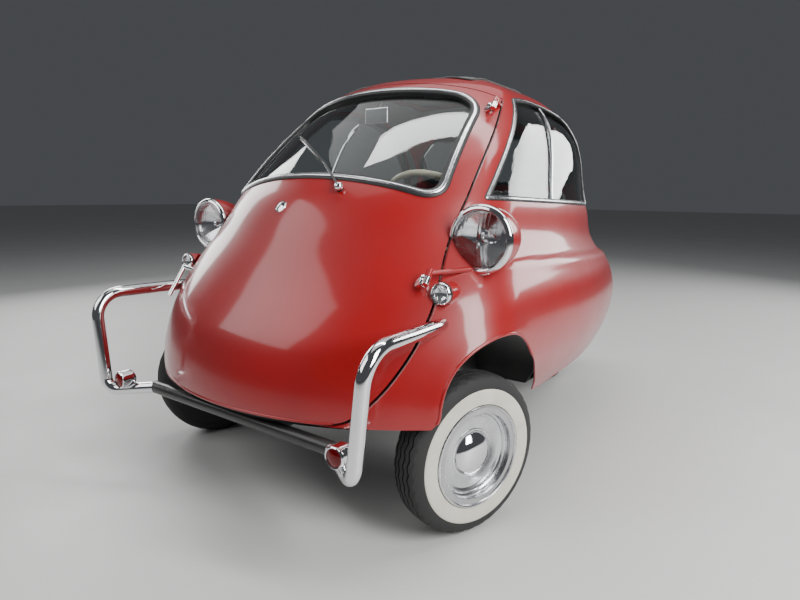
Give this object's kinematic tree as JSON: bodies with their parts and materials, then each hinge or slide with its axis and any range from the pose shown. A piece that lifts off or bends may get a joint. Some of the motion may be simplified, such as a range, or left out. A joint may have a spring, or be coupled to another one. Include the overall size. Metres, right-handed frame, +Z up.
{
  "type": "bubble car",
  "caption": "Small egg-shaped microcar with a front-opening door that carries the windscreen, steered front wheels, a close-set rear axle, fabric roof and tube bumpers",
  "frame": {"origin": "on the ground, under the middle of the bounding box", "axes": "+Z up, the nose points to -Y, +X is the car's left"},
  "size_m": [1.394, 2.3475, 1.379],
  "materials": {
    "body_paint": "gloss",
    "chrome": "gloss",
    "rim_paint": "gloss",
    "tyre": "matte",
    "window_glass": "gloss",
    "lamp_glass": "gloss",
    "red_lens": "gloss",
    "rubber_seal": "matte",
    "window_frame": "satin",
    "black_fabric": "matte",
    "seat_cloth": "matte",
    "frame_steel": "satin",
    "engine_metal": "matte",
    "ivory": "gloss"
  },
  "bodies": {
    "car_body": {"body_hinge_arms": "chrome", "body_side_left": "body_paint", "body_side_right": "body_paint", "chassis_frame": "frame_steel", "engine": "engine_metal", "engine_mount": "frame_steel", "fabric_roof": "black_fabric", "floor_pan": "frame_steel", "foot_pedals": "frame_steel", "front_bumper_tubes": "chrome", "hand_levers": "frame_steel", "headlamp_lenses": "lamp_glass", "headlamp_rims": "chrome", "headlamp_shells": "body_paint", "kingpin_carriers": "frame_steel", "lid_hinges": "chrome", "low_lamp_bodies": "chrome", "low_lamp_lenses": "red_lens", "muffler": "frame_steel", "parcel_shelf": "frame_steel", "plate_bracket": "frame_steel", "rear_axle_sleeve": "frame_steel", "rear_bumper_tubes": "chrome", "rear_panel": "body_paint", "rear_springs": "frame_steel", "rear_window": "window_glass", "rear_window_seal": "rubber_seal", "roof_frame": "body_paint", "seat_backrest": "seat_cloth", "seat_base": "frame_steel", "seat_cushion": "seat_cloth", "side_window_frames": "window_frame", "side_windows": "window_glass", "signal_lenses": "lamp_glass", "signal_shells": "body_paint", "tail_lamps": "red_lens", "wheel_housings": "body_paint"},
    "front_door": {"door_panel": "body_paint", "windscreen": "window_glass", "windscreen_seal": "rubber_seal", "wiper": "chrome", "door_hinge_arms": "chrome", "dash_pod": "body_paint", "steering_column": "frame_steel", "door_handle": "chrome", "interior_mirror": "chrome"},
    "steering_wheel": {"steering_wheel": "ivory"},
    "knuckle_left": {"knuckle_left": "frame_steel"},
    "knuckle_right": {"knuckle_right": "frame_steel"},
    "wheel_front_left": {"tyre_front_left": "tyre", "rim_front_left": "rim_paint", "hubcap_front_left": "chrome"},
    "wheel_front_right": {"tyre_front_right": "tyre", "rim_front_right": "rim_paint", "hubcap_front_right": "chrome"},
    "rear_wheels": {"rear_tyres": "tyre", "rear_rims": "rim_paint", "rear_hubcaps": "chrome", "rear_axle": "frame_steel"},
    "engine_lid": {"engine_lid": "body_paint"}
  },
  "joints": [
    {"name": "front_door_hinge", "type": "hinge", "parent": "car_body", "child": "front_door", "pos_m": [0.514, -0.823, 0.744], "axis": [-0.0986, 0.6944, 0.7128], "range_deg": [0, 80]},
    {"name": "steering_left", "type": "hinge", "parent": "car_body", "child": "knuckle_left", "pos_m": [0.54, -0.69, 0.234], "axis": [0, 0, 1], "range_deg": [-9, 47]},
    {"name": "steering_right", "type": "hinge", "parent": "car_body", "child": "knuckle_right", "pos_m": [-0.54, -0.69, 0.234], "axis": [0, 0, 1], "range_deg": [-9, 47]},
    {"name": "steering_wheel_turn", "type": "hinge", "parent": "front_door", "child": "steering_wheel", "pos_m": [0.29, -0.408, 0.89], "axis": [0, 0.7071, 0.7071], "range_deg": [-110, 570]},
    {"name": "wheel_front_left_spin", "type": "hinge", "parent": "knuckle_left", "child": "wheel_front_left", "pos_m": [0.58255, -0.70465, 0.234], "axis": [0.9455, -0.3256, 0], "continuous": true},
    {"name": "wheel_front_right_spin", "type": "hinge", "parent": "knuckle_right", "child": "wheel_front_right", "pos_m": [-0.58255, -0.67535, 0.234], "axis": [0.9455, -0.3256, 0], "continuous": true},
    {"name": "rear_axle_spin", "type": "hinge", "parent": "car_body", "child": "rear_wheels", "pos_m": [0, 0.81, 0.234], "axis": [1, 0, 0], "continuous": true},
    {"name": "engine_lid_hinge", "type": "hinge", "parent": "car_body", "child": "engine_lid", "pos_m": [-0.61583, 0.61688, 0.564], "axis": [0.2086, 0.978, 0], "range_deg": [0, 70]}
  ],
  "couplings": [
    {"joint": "steering_right", "follows": "steering_left", "ratio": 1},
    {"joint": "steering_wheel_turn", "follows": "steering_left", "ratio": 12}
  ]
}
